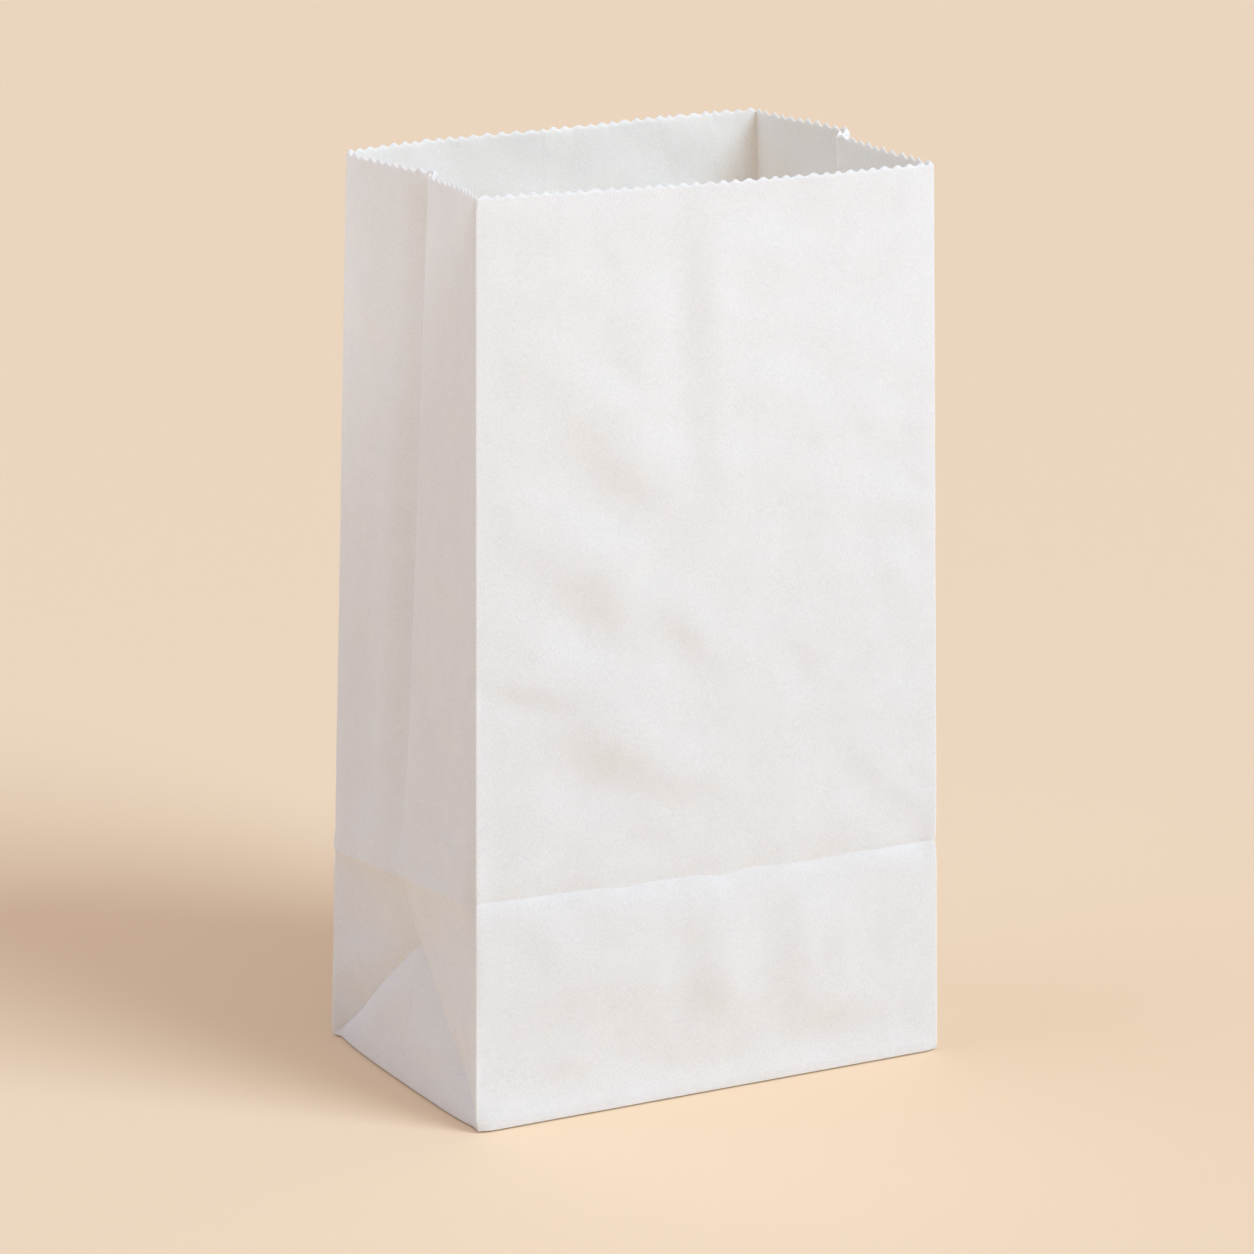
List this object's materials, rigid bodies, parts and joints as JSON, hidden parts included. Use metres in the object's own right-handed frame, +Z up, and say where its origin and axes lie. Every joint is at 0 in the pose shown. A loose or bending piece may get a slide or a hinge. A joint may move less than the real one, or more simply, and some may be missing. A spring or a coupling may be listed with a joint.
{
  "type": "paper bag",
  "caption": "Open white kraft paper bag with pleated sides, a flat folded bottom and a pinked mouth, standing upright for carry-out food.",
  "frame": {"origin": "middle of the bag's bounding box in plan, on the surface that the bag stands on", "axes": "+Z up through the open mouth, -Y out of the wide front panel, -X and +X out of the pleated sides"},
  "size_m": [0.1526, 0.1014, 0.2685],
  "materials": {
    "white_kraft_paper": "matte uncoated"
  },
  "bodies": {
    "root": {"paper_bag": "white_kraft_paper"}
  },
  "joints": []
}
